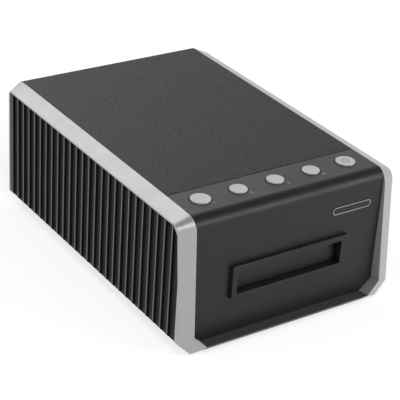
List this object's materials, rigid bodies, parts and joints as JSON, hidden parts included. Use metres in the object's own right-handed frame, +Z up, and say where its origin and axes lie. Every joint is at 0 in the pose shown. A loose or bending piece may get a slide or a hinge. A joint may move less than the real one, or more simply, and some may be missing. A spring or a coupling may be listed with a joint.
{
  "type": "film negative scanner",
  "caption": "Box-shaped motor-fed film scanner with a recessed front film slot behind a dust flap, a strip of round push buttons, bevelled silver side frames and black finned side panels.",
  "frame": {"origin": "under the middle of the case, on the plane that the rubber feet stand on", "axes": "+X right seen from the front, +Y towards the rear, +Z up; the film slot faces -Y"},
  "size_m": [0.18, 0.259, 0.1042],
  "materials": {
    "grained_black_abs": "fine leather-like grain",
    "strip_black_abs": "fine matt",
    "bezel_black_abs": "satin",
    "fin_black_abs": "satin",
    "silver_paint": "satin silver paint on moulded plastic",
    "button_silver": "satin silver paint",
    "foot_rubber": "matt",
    "steel": "plain",
    "zinc_screw": "zinc plated",
    "bed_plastic": "matt",
    "roller_rubber": "matt",
    "white_acetal": "plain",
    "bronze_bush": "sintered",
    "motor_can": "plain",
    "brass_pinion": "machined",
    "lamp_white": "matt",
    "diffuser_acrylic": "opal",
    "board_green": "solder mask",
    "clear_glass": "clear",
    "mirror_glass": "front surface",
    "socket_metal": "tin plated",
    "socket_black": "plain",
    "sensor_ceramic": "ceramic",
    "cable_white": "flat cable"
  },
  "bodies": {
    "case": {"base_tray": "bezel_black_abs", "top_cover": "grained_black_abs", "control_strip": "strip_black_abs", "front_bezel": "bezel_black_abs", "rear_panel": "bezel_black_abs", "right_side_frame": "silver_paint", "left_side_frame": "silver_paint", "right_fin_panel": "fin_black_abs", "left_fin_panel": "fin_black_abs", "rubber_feet": "foot_rubber", "case_screws": "zinc_screw", "chassis_screws": "zinc_screw", "front_throat": "bed_plastic", "front_flap_pin": "steel", "rear_throat": "bed_plastic", "rear_flap_pin": "steel", "film_bed": "bed_plastic", "scan_window": "clear_glass", "track_bridge": "bed_plastic", "shaft_bushes": "bronze_bush", "gear_plate": "steel", "idler_studs": "steel", "stepper_motor": "motor_can", "pivot_pins": "steel", "lamp_housing": "lamp_white", "lamp_board": "board_green", "diffuser": "diffuser_acrylic", "optics_housing": "bed_plastic", "fold_mirror": "mirror_glass", "lens_barrel": "bed_plastic", "lens_glass": "clear_glass", "sensor_board": "board_green", "ccd_sensor": "sensor_ceramic", "main_board": "board_green", "usb_socket": "socket_metal", "power_jack": "socket_black", "button_board": "board_green", "flat_cable": "cable_white"},
    "front_flap": {"front_flap": "bezel_black_abs"},
    "rear_flap": {"rear_flap": "bezel_black_abs"},
    "front_drive": {"front_drive_shaft": "steel", "front_drive_rollers": "roller_rubber", "front_drive_gear": "white_acetal"},
    "rear_drive": {"rear_drive_shaft": "steel", "rear_drive_rollers": "roller_rubber", "rear_drive_gear": "white_acetal"},
    "front_idler": {"front_idler_gear": "white_acetal"},
    "middle_idler": {"middle_idler_gear": "white_acetal"},
    "rear_idler": {"rear_idler_gear": "white_acetal"},
    "motor_rotor": {"motor_pinion": "brass_pinion"},
    "front_pinch_arm": {"front_pinch_arm": "steel"},
    "rear_pinch_arm": {"rear_pinch_arm": "steel"},
    "front_pinch_roller": {"front_pinch_roller": "white_acetal"},
    "rear_pinch_roller": {"rear_pinch_roller": "white_acetal"},
    "button_1": {"button_1": "button_silver"},
    "button_2": {"button_2": "button_silver"},
    "button_3": {"button_3": "button_silver"},
    "button_4": {"button_4": "button_silver"},
    "button_5": {"button_5": "button_silver"}
  },
  "joints": [
    {"name": "button_1_press", "type": "slide", "parent": "case", "child": "button_1", "axis": [0, 0, -1], "range_m": [0, 0.001], "stiffness_N_per_m": 400, "springref_m": -0.0005},
    {"name": "button_2_press", "type": "slide", "parent": "case", "child": "button_2", "axis": [0, 0, -1], "range_m": [0, 0.001], "stiffness_N_per_m": 400, "springref_m": -0.0005},
    {"name": "button_3_press", "type": "slide", "parent": "case", "child": "button_3", "axis": [0, 0, -1], "range_m": [0, 0.001], "stiffness_N_per_m": 400, "springref_m": -0.0005},
    {"name": "button_4_press", "type": "slide", "parent": "case", "child": "button_4", "axis": [0, 0, -1], "range_m": [0, 0.001], "stiffness_N_per_m": 400, "springref_m": -0.0005},
    {"name": "button_5_press", "type": "slide", "parent": "case", "child": "button_5", "axis": [0, 0, -1], "range_m": [0, 0.001], "stiffness_N_per_m": 400, "springref_m": -0.0005},
    {"name": "front_flap_swing", "type": "hinge", "parent": "case", "child": "front_flap", "pos_m": [0, -0.1152, 0.0592], "axis": [1, 0, 0], "range_deg": [0, 80]},
    {"name": "rear_flap_swing", "type": "hinge", "parent": "case", "child": "rear_flap", "pos_m": [0, 0.1252, 0.0582], "axis": [1, 0, 0], "range_deg": [0, 85]},
    {"name": "front_drive_spin", "type": "hinge", "parent": "case", "child": "front_drive", "pos_m": [0, -0.045, 0.034], "axis": [1, 0, 0], "continuous": true},
    {"name": "rear_drive_spin", "type": "hinge", "parent": "case", "child": "rear_drive", "pos_m": [0, 0.045, 0.034], "axis": [1, 0, 0], "continuous": true},
    {"name": "front_idler_spin", "type": "hinge", "parent": "case", "child": "front_idler", "pos_m": [0, -0.022, 0.034], "axis": [1, 0, 0], "continuous": true},
    {"name": "middle_idler_spin", "type": "hinge", "parent": "case", "child": "middle_idler", "pos_m": [0, 0, 0.034], "axis": [1, 0, 0], "continuous": true},
    {"name": "rear_idler_spin", "type": "hinge", "parent": "case", "child": "rear_idler", "pos_m": [0, 0.022, 0.034], "axis": [1, 0, 0], "continuous": true},
    {"name": "motor_spin", "type": "hinge", "parent": "case", "child": "motor_rotor", "pos_m": [0, 0.065, 0.034], "axis": [1, 0, 0], "continuous": true},
    {"name": "front_arm_lift", "type": "hinge", "parent": "case", "child": "front_pinch_arm", "pos_m": [0, -0.062, 0.0612], "axis": [1, 0, 0], "range_deg": [0, 4], "stiffness_Nm_per_rad": 0.2, "springref_deg": -9.74},
    {"name": "rear_arm_lift", "type": "hinge", "parent": "case", "child": "rear_pinch_arm", "pos_m": [0, 0.062, 0.0612], "axis": [-1, 0, 0], "range_deg": [0, 4], "stiffness_Nm_per_rad": 0.2, "springref_deg": -9.74},
    {"name": "front_pinch_spin", "type": "hinge", "parent": "front_pinch_arm", "child": "front_pinch_roller", "pos_m": [0, -0.045, 0.0595], "axis": [1, 0, 0], "continuous": true},
    {"name": "rear_pinch_spin", "type": "hinge", "parent": "rear_pinch_arm", "child": "rear_pinch_roller", "pos_m": [0, 0.045, 0.0595], "axis": [1, 0, 0], "continuous": true}
  ],
  "couplings": [
    {"joint": "rear_drive_spin", "follows": "front_drive_spin", "ratio": 1},
    {"joint": "front_idler_spin", "follows": "front_drive_spin", "ratio": -1.0909},
    {"joint": "middle_idler_spin", "follows": "front_drive_spin", "ratio": 1.0909},
    {"joint": "rear_idler_spin", "follows": "front_drive_spin", "ratio": -1.0909},
    {"joint": "motor_spin", "follows": "front_drive_spin", "ratio": -1.5}
  ]
}
